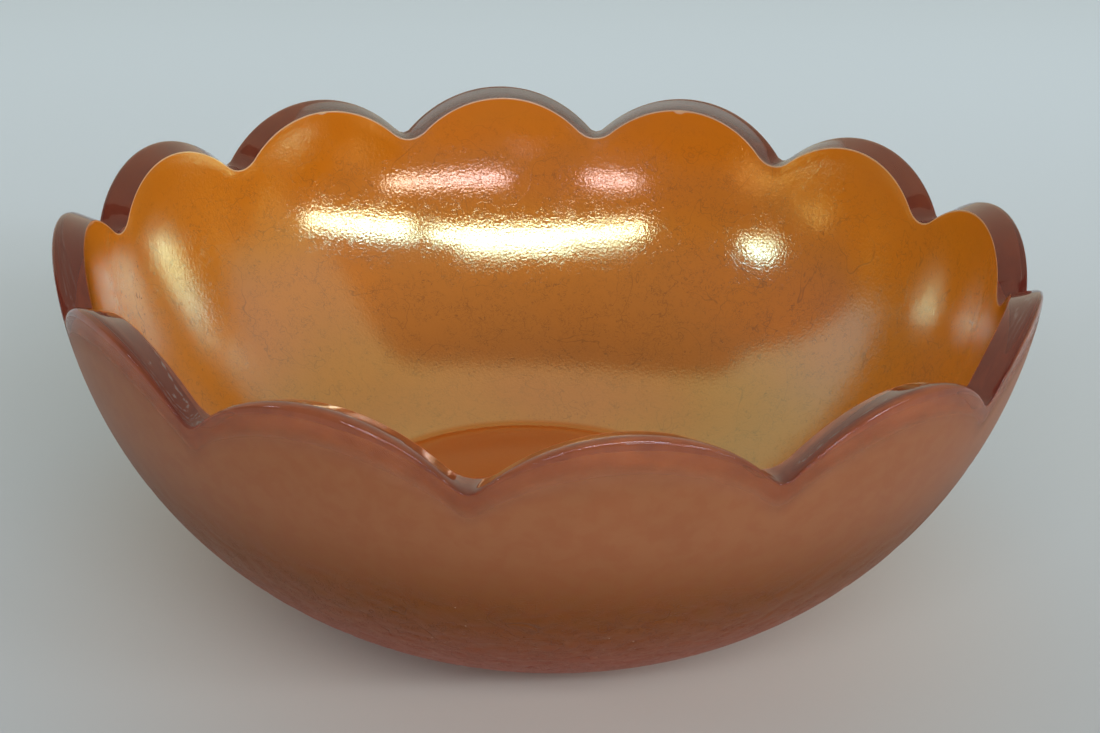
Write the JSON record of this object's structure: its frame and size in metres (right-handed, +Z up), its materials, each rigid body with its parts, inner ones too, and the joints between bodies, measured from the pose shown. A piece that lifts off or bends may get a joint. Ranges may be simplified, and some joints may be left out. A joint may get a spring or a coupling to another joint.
{
  "type": "glass bowl",
  "caption": "Round pressed-glass serving bowl with a scalloped rim, orange iridescent lustre inside and out, and a low collar foot.",
  "frame": {"origin": "middle of the flat face that the foot rests on", "axes": "+Z up through the middle of the mouth; scallop tips point along +X, -X, +Y and -Y"},
  "size_m": [0.204, 0.204, 0.0865],
  "materials": {
    "pressed_glass": "fire-polished bare glass on the rim face, slightly mauve, smooth",
    "foot_glass": "bare pressed glass, ground flat where it rests",
    "inner_lustre": "smooth orange iridescent metallic lustre with gold, pink and green glints",
    "outer_lustre": "orange-brown iridescent lustre, smooth under the rim and finely crackled below"
  },
  "bodies": {
    "root": {"glass_body": "pressed_glass", "foot_ring": "foot_glass", "inner_lustre": "inner_lustre", "outer_lustre": "outer_lustre"}
  },
  "joints": []
}
